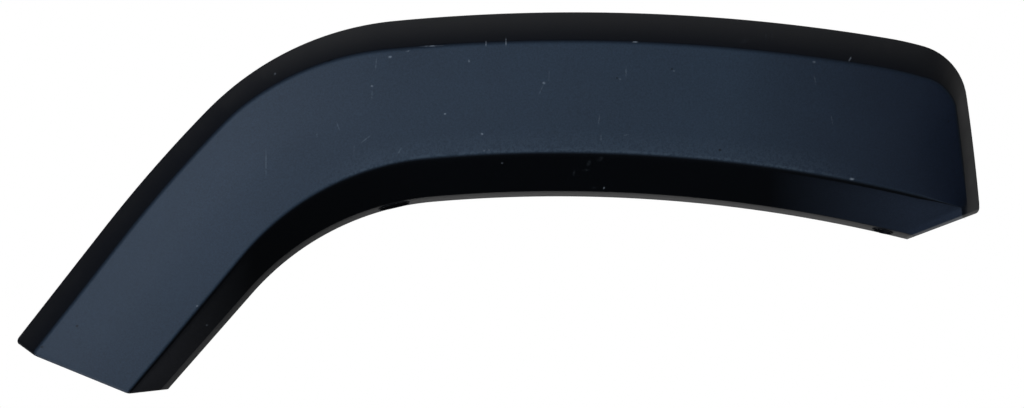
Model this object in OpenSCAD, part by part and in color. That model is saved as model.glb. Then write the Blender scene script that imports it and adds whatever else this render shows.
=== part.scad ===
// Wheel arch flare for the rear wing of a car: one hollow plastic moulding and the push-in clips that
// hold it to the body. X runs towards the rear along the car, Y points inboard, at the body, and Z is up.
// The origin is on the body plane, on the axis of the round locating pin above the wheel.

/* [Wheel-side edge] */
// Straight length of the leg
leg_len = 122; // [90:1:150]
// Slope of the leg from the horizontal
leg_slope = 48.7; // [42:0.1:55]
// Radius of the bend from the leg into the crown
shoulder_r = 257; // [200:1:300]
// Slope left at the front of the crown
crown_slope = 5; // [2:0.1:8]
// Radius of the crown over the wheel
crown_r = 1368; // [1100:1:1700]
// Length of the crown to the rear cut
crown_len = 454.5; // [380:1:480]

/* [Body-side edge] */
// Width of the leg, square to it
leg_width = 139; // [115:0.1:150]
// How far the body-side edge runs past the wheel-side edge at the foot
foot_overrun = 61.5; // [45:0.1:75]
// Extra slope of the leg at its foot
body_leg_turn = 3.3; // [0:0.1:5]
// How much longer its straight leg is than at the wheel
body_leg_grow = 14; // [5:0.5:25]
// Length of the easy bend above the straight
body_ease_len = 149; // [110:1:180]
// Radius of the easy bend
body_ease_r = 1357; // [1100:1:1700]
// How much larger the shoulder radius is than at the wheel
body_shoulder_grow = 30; // [15:1:45]
// How much larger the crown radius is than at the wheel
body_crown_grow = 430; // [300:1:550]
// How much longer its crown is than at the wheel, before it rolls over
body_crown_extra = 17.5; // [0:0.5:30]
// Extra slope at the front of its crown
body_crown_turn = 0.5; // [0:0.1:1]
// Radius where the crown starts to roll over
roll_r = 310; // [200:1:400]
// Angle of that first roll
roll_sweep = 6.2; // [3:0.1:9]
// Radius of the rear upper corner
corner_r = 57; // [40:1:70]
// Angle of the rear upper corner
corner_sweep = 66; // [58:0.5:70]
// Radius of the rear edge below the corner
rear_r = 2000; // [1500:10:3000]

/* [Lower crease] */
// Distance of the crease from the wheel-side edge at the foot
chamfer_foot = 25.3; // [18:0.1:30]
// How far the crease runs past the wheel-side edge at the foot
crease_overrun = 25.9; // [15:0.1:35]
// Extra slope of the crease on the leg
crease_turn = 1.6; // [0:0.1:3]
// How much longer the straight of the crease is
crease_leg_grow = 46; // [35:0.5:55]
// How much larger the crown radius of the crease is
crease_crown_grow = 79; // [40:1:120]
// Least width left of the face at its rear tip
face_tip = 8; // [7:0.5:14]

/* [Section] */
// Wall thickness
wall = 2.8; // [2:0.1:3.2]
// Depth of the roof, from the body to the upper crease
roof_depth = 58; // [45:1:70]
// Depth of the face at the lower crease
face_depth = 70; // [60:1:80]
// Outward bulge of the face
face_bulge = 1.5; // [0:0.1:3]
// Depth at the outer edge of the return flange
flange_depth = 30; // [24:1:40]
// Gap between the flange and the body plane
flange_setback = 4; // [2:0.5:8]
// Draft of the return flange
flange_draft = 11; // [6:0.5:14]
// Width of the roof in side view along the leg
roof_leg = 20; // [14:0.5:24]
// Width of the roof in side view at the front of the crown
roof_crown = 26; // [18:0.5:30]
// Width of the roof in side view at the rear of the crown
roof_rear = 29; // [20:0.5:34]
// Width of the roof in side view down the rear edge
roof_drop = 11.5; // [8:0.5:16]
// Radius of the upper crease
upper_crease_r = 7; // [4:0.5:9]
// Radius of the lower crease
lower_crease_r = 5; // [3.5:0.5:7]
// Radius of the bend into the return flange
flange_bend_r = 4; // [3.5:0.5:6]
// Radius round the two cut ends
end_r = 1.2; // [0.5:0.1:2]
// How far the ends of the arch curl inboard round the body, in plan
plan_bow = 18; // [0:1:30]
// Half length over which that bow is measured
bow_half = 450; // [400:10:520]

/* [Ends] */
// How far the lower crease stands beyond the straight line of the foot cut
foot_peak = 17; // [0:0.5:18]
// How far the upper crease stands beyond that line
foot_shoulder = 8; // [0:0.5:8]
// Length over which the foot runs out to its peak
foot_blend = 40; // [25:1:60]
// Angle of the rear cut above the horizontal
rear_cut = 20.6; // [10:0.1:35]
// Length of the edge over which the sections fan round the rear corner
fan_len = 90; // [70:1:120]

/* [Fixings] */
// Number of clip houses
clip_count = 8; // [5:1:8]
// Distance of the first clip house from the foot, along the wheel-side edge
clip_front = 79; // [72:1:86]
// Distance of the last clip house from the rear cut, along the wheel-side edge
clip_rear = 49.5; // [46:0.5:60]
// Bay between two clip houses that holds the main locating pin
pin_bay = 3; // [2:1:3]
// Place of clips and pins across the face, from the upper crease
fixing_line = 0.3; // [0.25:0.01:0.4]
// Length of a clip house along the arch
house_len = 26; // [22:0.5:30]
// Width of a clip house across the arch
house_width = 24; // [22:0.5:28]
// Wall of a clip house
house_wall = 2; // [1.5:0.1:2.5]
// Thickness of the plate that a clip slides into
plate_t = 2.4; // [2:0.1:3]
// Locating pin diameter
pin_d = 8; // [6:0.5:10]
// Locating pin length beyond the body plane
pin_len = 15; // [10:0.5:20]
// Share of its diameter left at the pin's tip
pin_tip = 0.6; // [0.4:0.05:0.8]
// Diameter of the pin's post
post_d = 14; // [12:0.5:18]
// Rib thickness
rib_t = 1.8; // [1.2:0.1:2.2]
// Height of the ribs above the face
rib_h = 14; // [8:1:20]
// Height of the ribs against the roof and the flange
rib_side = 14; // [8:1:18]
// Distance of the ribs from the body plane
rib_gap = 12; // [8:1:16]
// How deep ribs, houses and posts sink into the wall
foot_sink = 1.2; // [0.6:0.1:1.4]

/* [Screw seats] */
// Distance of the front seat before the start of the crown
front_seat_back = 36; // [22:1:48]
// Distance of the rear seat from the rear cut
rear_seat_gap = 24.5; // [22:0.5:36]
// Diameter of the sunk seat
seat_d = 17; // [15:0.5:18]
// Depth of the sunk seat
seat_depth = 4; // [3:0.5:6]
// Diameter of the screw hole
screw_d = 7; // [5:0.1:9]
// Extra length of the front seat and its slot
slot_extra = 11; // [6:0.5:14]
// Height of the raised rim round a seat
seat_rim = 0.9; // [0.5:0.1:1.5]

/* [Clips] */
// Diameter of the clip's neck
neck_d = 8; // [6:0.5:9]
// Play between the neck and its slot, each side
neck_play = 0.2; // [0.1:0.05:0.4]
// Play of the plate between the clip's foot and collar, each side
seat_play = 0.1; // [0.05:0.05:0.2]
// Diameter of the foot inside the house
foot_d = 15; // [12:0.5:17]
// Thickness of the foot
foot_t = 1.6; // [1.2:0.1:2.4]
// Diameter of the collar against the body
collar_d = 19; // [16:0.5:22]
// Thickness of the collar
collar_t = 1.5; // [1:0.1:2.5]
// Diameter of the clip's shank
shank_d = 6.4; // [5:0.1:7]
// Length of the shank beyond the body plane
shank_len = 15; // [12:0.5:20]
// Number of barbs on a shank
barb_count = 3; // [2:1:4]
// How far the first barb stands out from the shank
barb_out = 1.3; // [0.8:0.1:1.6]
// How much less each next barb stands out
barb_fall = 0.26; // [0:0.02:0.3]
// Bevel round the collar
collar_bevel = 1.1; // [0.5:0.1:1.4]
// Slope of that bevel's width, for each unit of height
collar_flare = 1.4; // [1:0.1:2]
// Length of the shank's pointed tip
tip_len = 2; // [1:0.5:3]
// Width of the slit through the shank
slit_w = 1.2; // [0.8:0.1:1.6]
// Solid length left at each end of the slit
slit_end = 2.5; // [2:0.5:4]

/* [Hidden] */
$fn = 32;
clip_sides = 20;

// How finely the shell is divided
leg_steps = 7;
shoulder_steps = 13;
crown_steps = 10;
fan_steps = 26;
crease_steps = 4;
rib_steps = 12;
search_steps = 24;
// Length by which the last leg of a rail runs on, and by which a cut runs past what it cuts
run_on = 200;
past = 1;

shoulder_len = shoulder_r * (leg_slope - crown_slope) * PI / 180;
edge_len = leg_len + shoulder_len + crown_len;
flange_height = flange_depth - flange_setback;
plate_top = -collar_t - seat_play;
flange_drop = flange_height * tan(flange_draft);

// A point that runs along a rail: x, z and heading
function move(at, len, turn_r) =
    turn_r == 0
    ? [at[0] + len * cos(at[2]), at[1] + len * sin(at[2]), at[2]]
    : let(to = at[2] - len / turn_r * 180 / PI)
      [at[0] + turn_r * (sin(at[2]) - sin(to)), at[1] + turn_r * (cos(to) - cos(at[2])), to];

// A rail is a start and a list of [length, radius]; radius 0 is straight, and the ends run on
function along(at, legs, len, i = 0) =
    len <= legs[i][0] || i == len(legs) - 1
    ? move(at, len, legs[i][1])
    : along(move(at, legs[i][0], legs[i][1]), legs, len - legs[i][0], i + 1);

function arc_len(r, sweep) = r * sweep * PI / 180;
function run_of(legs) = len(legs) == 0 ? 0 : [for (l = legs) l[0]] * [for (l = legs) 1];

// Start of a rail beside the foot of the wheel-side edge
function beside(overrun, width, turn) =
    [-overrun * cos(leg_slope) - width * sin(leg_slope),
     -overrun * sin(leg_slope) + width * cos(leg_slope), leg_slope + turn];

edge_start = [0, 0, leg_slope];
edge_legs = [[leg_len, 0], [shoulder_len, shoulder_r], [crown_len, crown_r]];

body_shoulder_r = shoulder_r + body_shoulder_grow;
body_ease_sweep = body_ease_len / body_ease_r * 180 / PI;
body_shoulder_len = arc_len(body_shoulder_r, leg_slope + body_leg_turn - body_ease_sweep - crown_slope
    - body_crown_turn);
body_start = beside(foot_overrun, leg_width, body_leg_turn);
body_legs = [
    [leg_len + body_leg_grow, 0], [body_ease_len, body_ease_r], [body_shoulder_len, body_shoulder_r],
    [crown_len + body_crown_extra, crown_r + body_crown_grow], [arc_len(roll_r, roll_sweep), roll_r],
    [arc_len(corner_r, corner_sweep), corner_r], [run_on, rear_r]];

crease_start = beside(crease_overrun, chamfer_foot, crease_turn);
crease_legs = [
    [leg_len + crease_leg_grow, 0], [arc_len(shoulder_r, leg_slope + crease_turn - crown_slope), shoulder_r],
    [crown_len + run_on, crown_r + crease_crown_grow]];

function smooth(t) = let(k = min(1, max(0, t))) k * k * (3 - 2 * k);

// Sections stand square to the wheel-side edge, and lean over to follow the two end cuts
foot_lean = atan2(foot_overrun, leg_width);
rear_heading = crown_slope - crown_len / crown_r * 180 / PI;
rear_lean = rear_cut - 90 - rear_heading;
function lean(s) = foot_lean * (1 - smooth(s / leg_len)) + rear_lean * smooth((s - edge_len + fan_len) / fan_len);

// Distance along a rail at which the ray from p in direction d crosses it
function crossing(p, d, start, legs, lo, hi, n = search_steps) =
    let(mid = (lo + hi) / 2, q = along(start, legs, mid))
    n == 0 ? mid
    : d[0] * (q[1] - p[1]) - d[1] * (q[0] - p[0]) > 0
    ? crossing(p, d, start, legs, mid, hi, n - 1)
    : crossing(p, d, start, legs, lo, mid, n - 1);

// Roof width in side view, by the heading of the body-side edge
function roof_width(heading) = lookup(heading, [
    [-80, roof_drop], [-25, roof_rear], [-12, roof_rear], [10, roof_crown], [40, roof_leg]]);

// One flat section at a place along the wheel-side edge: its foot, its direction across the arch and
// its corners as [distance across, depth], from the body-side edge round to the end of the flange
function section(s) =
    let(
        base = along(edge_start, edge_legs, s),
        across = base[2] + 90 + lean(s),
        d = [cos(across), sin(across)],
        body = along(body_start, body_legs,
            crossing(base, d, body_start, body_legs, -foot_overrun, run_of(body_legs))),
        crease = along(crease_start, crease_legs,
            crossing(base, d, crease_start, crease_legs, -foot_overrun, run_of(crease_legs))),
        body_at = (body[0] - base[0]) * d[0] + (body[1] - base[1]) * d[1],
        crease_at = (crease[0] - base[0]) * d[0] + (crease[1] - base[1]) * d[1],
        upper_at = body_at - roof_width(body[2]) / cos(body[2] + 90 - across))
    [base, across, [
        [body_at, 0], [upper_at, -roof_depth], [min(crease_at, upper_at - face_tip), -face_depth],
        [flange_drop / cos(lean(s)), -flange_depth], [0, -flange_setback]]];

function unit(v) = v / norm(v);
function outward(v) = [-v[1], v[0]];

// A rounded corner of the section, as points with their outward direction
function bend(a, v, b, r) =
    let(
        d1 = unit(v - a), d2 = unit(b - v),
        half = acos(d1 * d2) / 2,
        fit_r = min(r, 0.48 * min(norm(v - a), norm(b - v)) / tan(half)),
        centre = v - fit_r / cos(half) * unit(outward(d1) + outward(d2)))
    [for (i = [0 : crease_steps])
        let(k = i / crease_steps,
            n = (sin((1 - k) * 2 * half) * outward(d1) + sin(k * 2 * half) * outward(d2)) / sin(2 * half))
        [centre + fit_r * n, n]];

// Points on the flat between two corners, bulged outwards
function panel(a, b, places, bulge) =
    [for (k = places) [a + (b - a) * k + 4 * k * (1 - k) * bulge * outward(unit(b - a)), outward(unit(b - a))]];

function outline(c) = concat(
    [[c[0], outward(unit(c[1] - c[0]))]],
    panel(c[0], c[1], [0.45], 0),
    bend(c[0], c[1], c[2], upper_crease_r),
    panel(c[1], c[2], [0.25, 0.5, 0.75], face_bulge),
    bend(c[1], c[2], c[3], lower_crease_r),
    panel(c[2], c[3], [0.5], 0),
    bend(c[2], c[3], c[4], flange_bend_r),
    [[c[4], outward(unit(c[4] - c[3]))]]);

function bow(x) = plan_bow * pow(x / bow_half, 2);

// Stations of the fixings along the wheel-side edge
function clip_place(i) = clip_front + (edge_len - clip_front - clip_rear) * i / (clip_count - 1);
pin_station = clip_place(pin_bay + 0.5);
front_seat_station = edge_len - crown_len - front_seat_back;
rear_seat_station = edge_len - rear_seat_gap;

// The axis of the main locating pin, which is the origin of the part
function on_face(s, f) =
    let(q = section(s), u = q[2][1][0] + (q[2][2][0] - q[2][1][0]) * f)
    [q[0][0] + u * cos(q[1]), q[0][1] + u * sin(q[1])];
datum = on_face(pin_station, fixing_line);

// How far each part of the section stands beyond the straight line of the foot cut
function foot_reach(s, u, c) =
    max(0, 1 - s / foot_blend) * lookup(u, [
        [c[4][0], 0], [c[3][0], foot_peak / 5], [c[2][0], foot_peak], [c[1][0], foot_shoulder], [c[0][0], 0]]);

// A point of the section in space
function placed(s, q, u, y) =
    let(reach = foot_reach(s, u, q[2]),
        x = q[0][0] + u * cos(q[1]) - reach * cos(leg_slope) - datum[0],
        z = q[0][1] + u * sin(q[1]) - reach * sin(leg_slope) - datum[1])
    [x, y + bow(x), z];

// A row of the shell at one place, sunk into the skin by a depth
function row(s, sunk) =
    let(q = section(s))
    [for (p = outline(q[2])) let(at = p[0] - sunk * p[1]) placed(s, q, at[0], at[1])];

// The same row brought inboard to the plane of the rim, which closes an end
function rim_row(s, sunk) =
    let(q = section(s), c = q[2])
    [for (p = outline(c)) let(at = p[0] - sunk * p[1])
        placed(s, q, at[0], lookup(at[0], [[c[4][0], c[4][1]], [c[0][0], c[0][1]]]))];

end_steps = [0, 0.5, 1];
foot_end = [for (k = end_steps) [end_r * (1 - cos(90 * k)), end_r * (1 - sin(90 * k))]];
stations = concat(
    [for (e = foot_end) [e[0], e[1]]],
    [for (i = [1 : leg_steps]) [leg_len * i / leg_steps, 0]],
    [for (i = [1 : shoulder_steps]) [leg_len + shoulder_len * i / shoulder_steps, 0]],
    [for (i = [1 : crown_steps]) [leg_len + shoulder_len + (crown_len - fan_len) * i / crown_steps, 0]],
    [for (i = [1 : fan_steps - 1]) [edge_len - fan_len * (1 - i / fan_steps), 0]],
    [for (i = [2 : -1 : 0]) [edge_len - foot_end[i][0] / cos(rear_lean), foot_end[i][1]]]);
inner_first = wall / cos(foot_lean);
inner_last = wall / cos(rear_lean);
// The inner skin stops short of the outer one by the thickness of each end wall
function inner_place(s) = inner_first + s * (edge_len - inner_first - inner_last) / edge_len;

// A closed tray: outer skin, inner skin and the rim between them
module shell() {
    outer = concat([rim_row(0, end_r)], [for (t = stations) row(t[0], t[1])], [rim_row(edge_len, end_r)]);
    inner = concat(
        [rim_row(inner_place(0), wall)], [for (t = stations) row(inner_place(t[0]), wall)],
        [rim_row(inner_place(edge_len), wall)]);
    rows = len(outer);
    cols = len(outer[0]);
    function at(i, j, skin) =
        let(k = (j == 0 || j == cols - 1) ? min(rows - 2, max(1, i)) : i) skin * rows * cols + k * cols + j;
    skins = [for (skin = [0, 1], i = [0 : rows - 2], j = [0 : cols - 2])
        let(a = at(i, j, skin), b = at(i, j + 1, skin), c = at(i + 1, j + 1, skin), d = at(i + 1, j, skin))
        each skin == 0 ? [[a, c, b], [a, d, c]] : [[a, b, c], [a, c, d]]];
    sides = [for (i = [1 : rows - 3], j = [0, cols - 1])
        let(a = at(i, j, 0), b = at(i + 1, j, 0), c = at(i + 1, j, 1), d = at(i, j, 1))
        each j == 0 ? [[a, c, b], [a, d, c]] : [[a, b, c], [a, c, d]]];
    ends = [for (i = [0, rows - 1], j = [0 : cols - 2])
        let(a = at(i, j, 0), b = at(i, j + 1, 0), c = at(i, j + 1, 1), d = at(i, j, 1))
        each i == 0 ? [[a, b, c], [a, c, d]] : [[a, c, b], [a, d, c]]];
    faces = [for (f = concat(skins, sides, ends)) if (f[0] != f[1] && f[1] != f[2] && f[0] != f[2]) f];
    polyhedron([for (r = concat(outer, inner)) each r], faces, convexity = 10);
}

// Stands its children on the body plane: local Z inboard, local X along the arch, local Y to the wheel
module on_body(s, f) {
    at = on_face(s, f) - datum;
    translate([at[0], bow(at[0]), at[1]])
        rotate([0, -(section(s)[1] - 90), 0])
            rotate([-90, 0, 0]) children();
}

// Height of the middle of the face's wall below the body plane, at a distance y to the wheel side
function wall_height(s, f, y) =
    let(c = section(s)[2], span = c[1][0] - c[2][0])
    -roof_depth - (face_depth - roof_depth) * (f + y / span) + wall - foot_sink;

// A prism across the face whose foot follows the wall
module footed(s, f, length, width, top, sink = 0) {
    rotate([90, 0, 90]) linear_extrude(length, center = true) polygon([
        [-width / 2, wall_height(s, f, -width / 2) - sink], [width / 2, wall_height(s, f, width / 2) - sink],
        [width / 2, top], [-width / 2, top]]);
}

// The house that a clip slides into from the wheel side
module clip_house(s) {
    on_body(s, fixing_line) difference() {
        footed(s, fixing_line, house_len, house_width, plate_top);
        translate([0, house_wall, 0]) footed(s, fixing_line, house_len - 2 * house_wall, house_width,
            plate_top - plate_t, house_width);
        translate([0, 0, plate_top - plate_t - past]) {
            cylinder(h = plate_t + 2 * past, d = neck_d + 2 * neck_play);
            translate([-neck_d / 2 - neck_play, 0, 0])
                cube([neck_d + 2 * neck_play, house_width, plate_t + 2 * past]);
        }
    }
}

// A round locating pin on its post. The pin's straight length is centred on the body plane
module locating_pin(s) {
    straight = pin_len - pin_d / 4;
    on_body(s, fixing_line) {
        floor_at = wall_height(s, fixing_line, -post_d / 2);
        footed(s, fixing_line, 2 * post_d, rib_t, -straight - post_d / 2);
        translate([0, 0, floor_at]) {
            cylinder(h = -straight - floor_at, d = post_d);
            cylinder(h = straight - floor_at, d = pin_d);
        }
        translate([0, 0, straight]) cylinder(h = pin_d / 4, d1 = pin_d, d2 = pin_d * pin_tip);
    }
}

// A rib square across the arch, low over the face and rising to the roof and the flange
module rib(s) {
    q = section(s);
    skin = [for (p = outline(q[2])) let(at = p[0] - wall / 2 * p[1]) at];
    top = skin[0][0];
    low = skin[len(skin) - 1][0];
    reach = (top - low) / 2 - rib_side;
    rise = face_depth - rib_h - rib_gap;
    free = [for (i = [0 : rib_steps]) let(a = 180 * i / rib_steps)
        [(top + low) / 2 - reach * cos(a), -rib_gap - rise * sin(a)]];
    walls = [for (p = skin) if (p[1] < -rib_gap) p];
    translate([q[0][0] - datum[0], 0, q[0][1] - datum[1]])
        rotate([0, -(q[1] - 90), 0]) rotate([90, 0, -90])
            linear_extrude(rib_t, center = true)
                polygon([for (p = concat(walls, free))
                    [-p[1] - bow(q[0][0] + p[0] * cos(q[1]) - datum[0]), p[0]]]);
}

// Stands its children on the middle of the return flange: local Z out of it at the wheel, local X along it
module on_flange(s) {
    at = along(edge_start, edge_legs, s);
    mid = (flange_depth + flange_setback) / 2;
    x = at[0] - flange_drop / 2 * sin(at[2]) - datum[0];
    z = at[1] + flange_drop / 2 * cos(at[2]) - datum[1];
    translate([x, bow(x) - mid, z]) rotate([0, -at[2], 0]) rotate([180 - flange_draft, 0, 0]) children();
}

// A round-ended bar between two heights
module slot_bar(d, extra, from, to) {
    translate([0, 0, from]) {
        if (extra == 0) cylinder(h = to - from, d = d);
        else {
            for (side = [-1, 1]) translate([side * extra / 2, 0, 0]) cylinder(h = to - from, d = d);
            translate([-extra / 2, -d / 2, 0]) cube([extra, d, to - from]);
        }
    }
}

module seat_cup(s, extra) {
    on_flange(s) slot_bar(seat_d + 2 * seat_rim + wall / 2, extra, -seat_depth - wall, seat_rim);
}

module seat_cut(s, extra) {
    on_flange(s) {
        slot_bar(seat_d, extra, -seat_depth, seat_rim + wall);
        slot_bar(screw_d, extra, -seat_depth - 2 * wall, 0);
    }
}

module arch_moulding() {
    color("#2b3843") difference() {
        union() {
            shell();
            for (i = [0 : clip_count - 1]) clip_house(clip_place(i));
            for (i = [-1 : clip_count - 2]) rib(clip_place(i + 0.5));
            locating_pin(pin_station);
            locating_pin(clip_place(clip_count - 1.5));
            seat_cup(front_seat_station, slot_extra);
            seat_cup(rear_seat_station, 0);
        }
        seat_cut(front_seat_station, slot_extra);
        seat_cut(rear_seat_station, 0);
    }
}

// A push-in clip: foot, neck, collar and a barbed, slit shank
module retaining_clip() {
    neck_foot = plate_top - plate_t - seat_play;
    pitch = (shank_len - tip_len) / barb_count;
    barbs = [for (i = [0 : barb_count - 1]) let(low = pitch * (i + 0.5), out = barb_out - barb_fall * i) each
        [[shank_d / 2, low], [shank_d / 2 + out, low + pitch / 10], [shank_d / 2, low + pitch / 2]]];
    difference() {
        rotate_extrude($fn = clip_sides) polygon(concat(
            [[0, neck_foot - foot_t], [foot_d / 2, neck_foot - foot_t], [foot_d / 2, neck_foot],
             [neck_d / 2, neck_foot], [neck_d / 2, -collar_t], [collar_d / 2, -collar_t],
             [collar_d / 2, -collar_bevel / collar_flare], [collar_d / 2 - collar_bevel, 0], [shank_d / 2, 0]],
            barbs, [[shank_d / 5, shank_len], [0, shank_len]]));
        translate([-slit_w / 2, -collar_d, slit_end])
            cube([slit_w, 2 * collar_d, shank_len - tip_len - 2 * slit_end]);
    }
}

module retaining_clips() {
    color("#d9d6c8") for (i = [0 : clip_count - 1]) on_body(clip_place(i), fixing_line) retaining_clip();
}

arch_moulding();
retaining_clips();
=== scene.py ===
# %% [markdown]
# # A wheel arch flare, moulded in one piece
# The flare is a long hollow shell of black grained plastic. It has a narrow roof against the body, a broad
# face, a chamfer towards the tyre and a flange that turns back in. The sizes below repeat those of the CAD
# source, in millimetres, and one factor turns them into Blender's metres. Only the rear tip of the face, its
# slight bulge and the rounding of the corners are a little finer here.

# %% Load the frame
import math

import bpy
import bmesh
from mathutils import Matrix, Vector


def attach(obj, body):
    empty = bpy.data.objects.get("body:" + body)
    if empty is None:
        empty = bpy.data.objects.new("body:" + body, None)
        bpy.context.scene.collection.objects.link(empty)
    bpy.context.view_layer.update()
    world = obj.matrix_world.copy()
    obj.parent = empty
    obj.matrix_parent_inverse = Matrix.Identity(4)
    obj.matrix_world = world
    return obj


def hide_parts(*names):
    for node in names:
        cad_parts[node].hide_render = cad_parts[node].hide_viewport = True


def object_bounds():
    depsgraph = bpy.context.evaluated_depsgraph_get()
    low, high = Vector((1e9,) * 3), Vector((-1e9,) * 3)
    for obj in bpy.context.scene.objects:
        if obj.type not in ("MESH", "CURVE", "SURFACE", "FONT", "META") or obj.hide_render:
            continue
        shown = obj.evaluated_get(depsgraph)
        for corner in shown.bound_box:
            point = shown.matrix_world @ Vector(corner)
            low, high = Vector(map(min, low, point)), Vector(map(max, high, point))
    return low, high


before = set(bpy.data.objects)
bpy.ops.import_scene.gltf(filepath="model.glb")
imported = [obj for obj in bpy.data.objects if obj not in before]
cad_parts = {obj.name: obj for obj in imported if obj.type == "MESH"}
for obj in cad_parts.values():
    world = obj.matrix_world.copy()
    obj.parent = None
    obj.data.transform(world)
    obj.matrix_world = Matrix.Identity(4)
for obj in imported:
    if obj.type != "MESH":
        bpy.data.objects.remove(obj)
cad_low, cad_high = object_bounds()
MM = 0.001
print("CAD box in mm:", [round(v / MM) for v in cad_high - cad_low])

# %% [markdown]
# ## The rails
# Seen from the side, the arch is drawn by three lines: its edge at the body, the crease at the foot of the
# face, and its edge at the wheel. Each could be traced as a spline with many points. A car's line is a chain
# of a straight and a few large arcs instead, so each rail is a start and a list of lengths and radii.

# %% Rails as chains of arcs
LEG_SLOPE, CROWN_SLOPE = 48.7, 5.0
SHOULDER_R, CROWN_R = 257.0, 1368.0
LEG_LEN, CROWN_LEN = 122.0, 454.5


def unit(degrees):
    """Cosine and sine of an angle: one step along that direction."""
    return math.cos(math.radians(degrees)), math.sin(math.radians(degrees))


def arc(radius, sweep):
    """One leg of a rail: its length and its radius."""
    return (radius * math.radians(sweep), radius)


def move(at, length, radius):
    """Goes a length along a straight (radius 0) or a clockwise arc, from (x, z, heading)."""
    x, z, heading = at
    h = math.radians(heading)
    if radius == 0:
        return (x + length * math.cos(h), z + length * math.sin(h), heading)
    end = h - length / radius
    x += radius * (math.sin(h) - math.sin(end))
    z += radius * (math.cos(end) - math.cos(h))
    return (x, z, math.degrees(end))


def along(rail, length):
    """The point and heading at a length along a rail. Both ends run on past the rail."""
    at, legs = rail
    for leg_length, radius in legs[:-1]:
        if length <= leg_length:
            return move(at, length, radius)
        at = move(at, leg_length, radius)
        length -= leg_length
    return move(at, length, legs[-1][1])


def beside(overrun, width, turn):
    """A start beside the foot of the wheel-side edge."""
    c, s = unit(LEG_SLOPE)
    return (-overrun * c - width * s, -overrun * s + width * c, LEG_SLOPE + turn)


SHOULDER = arc(SHOULDER_R, LEG_SLOPE - CROWN_SLOPE)
EDGE_LEN = LEG_LEN + SHOULDER[0] + CROWN_LEN
edge_rail = ((0.0, 0.0, LEG_SLOPE), [(LEG_LEN, 0), SHOULDER, (CROWN_LEN, CROWN_R)])
print("wheel-side edge is", round(EDGE_LEN), "mm long")

# %% The edge at the body, which rolls over at the rear, and the crease
FOOT_OVERRUN, LEG_WIDTH, BODY_TURN = 61.5, 139.0, 3.3
BODY_LEG_LEN, BODY_CROWN_LEN, BODY_CROWN_TURN = 136.0, 472.0, 0.5
EASE_LEN, EASE_R = 149.0, 1357.0
BODY_SHOULDER_R, BODY_CROWN_R = SHOULDER_R + 30, CROWN_R + 430
ROLL_R, ROLL_SWEEP, REAR_CORNER_R, REAR_CORNER_SWEEP = 310, 6.2, 57, 66
REAR_LEN, REAR_R = 200.0, 2000
body_sweep = LEG_SLOPE + BODY_TURN - math.degrees(EASE_LEN / EASE_R) - CROWN_SLOPE - BODY_CROWN_TURN
body_rail = (beside(FOOT_OVERRUN, LEG_WIDTH, BODY_TURN), [
    (BODY_LEG_LEN, 0), (EASE_LEN, EASE_R), arc(BODY_SHOULDER_R, body_sweep), (BODY_CROWN_LEN, BODY_CROWN_R),
    arc(ROLL_R, ROLL_SWEEP), arc(REAR_CORNER_R, REAR_CORNER_SWEEP), (REAR_LEN, REAR_R)])
CREASE_OVERRUN, CHAMFER_FOOT, CREASE_TURN = 25.9, 25.3, 1.6
CREASE_LEG_LEN, CREASE_CROWN_LEN, CREASE_CROWN_R = LEG_LEN + 46, CROWN_LEN + 120, CROWN_R + 79
crease_rail = (beside(CREASE_OVERRUN, CHAMFER_FOOT, CREASE_TURN), [
    (CREASE_LEG_LEN, 0), arc(SHOULDER_R, LEG_SLOPE + CREASE_TURN - CROWN_SLOPE),
    (CREASE_CROWN_LEN, CREASE_CROWN_R)])
print("body edge is", round(sum(leg[0] for leg in body_rail[1])), "mm long, with what runs past the rear cut")

# %% [markdown]
# ## Flat sections across the arch
# At each place along the wheel-side edge a ray runs across the arch and meets the other rails. The corners
# of the section lie on that ray, each at its own depth. The rays stand square to the edge, and lean over at
# the two ends so that the last sections lie along the real cuts.

# %% Sections from the rails
WALL, ROOF_DEPTH, FACE_DEPTH = 2.8, 58.0, 70.0
FLANGE_DEPTH, FLANGE_SETBACK, FLANGE_DRAFT = 30.0, 4.0, 11.0
FLANGE_DROP = (FLANGE_DEPTH - FLANGE_SETBACK) * math.tan(math.radians(FLANGE_DRAFT))
FACE_TIP, FACE_BULGE = 6.0, 1.35
# slope of the edge at the body, and the width of the roof there in side view
ROOF_WIDTHS = [(-80, 11.5), (-25, 29), (-12, 29), (10, 26), (40, 20)]
REAR_CUT = 20.6
FOOT_LEAN = math.degrees(math.atan2(FOOT_OVERRUN, LEG_WIDTH))
REAR_LEAN = REAR_CUT - 90 - (CROWN_SLOPE - math.degrees(CROWN_LEN / CROWN_R))
FAN_LEN, FOOT_BLEND = 90.0, 40.0
FOOT_PEAK, FOOT_SHOULDER = 17.0, 8.0
BEND_PEAK = FOOT_PEAK / 5
PLAN_BOW, BOW_HALF = 18.0, 450.0
CLIP_COUNT, CLIP_FRONT, CLIP_REAR = 8, 79.0, 49.5
PIN_BAY, REAR_PIN_BAY = 3, CLIP_COUNT - 2
FIXING_LINE = 0.3


def clip_place(i):
    """Station of a clip, or between two clips, along the wheel-side edge."""
    return CLIP_FRONT + (EDGE_LEN - CLIP_FRONT - CLIP_REAR) * i / (CLIP_COUNT - 1)


PIN_STATION = clip_place(PIN_BAY + 0.5)


def table_value(x, table):
    """Straight-line value between the rows of a short table."""
    if x <= table[0][0]:
        return table[0][1]
    for (x0, y0), (x1, y1) in zip(table, table[1:]):
        if x <= x1:
            return y0 + (y1 - y0) * (x - x0) / (x1 - x0)
    return table[-1][1]


def smooth(t):
    """Goes from 0 to 1 with an easy start and end."""
    t = min(1.0, max(0.0, t))
    return t * t * (3 - 2 * t)


def lean(s):
    """How far a ray leans from square, in degrees."""
    return FOOT_LEAN * (1 - smooth(s / LEG_LEN)) + REAR_LEAN * smooth((s - EDGE_LEN + FAN_LEN) / FAN_LEN)


SEARCH_BEFORE, HALVINGS = 60.0, 30


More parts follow.
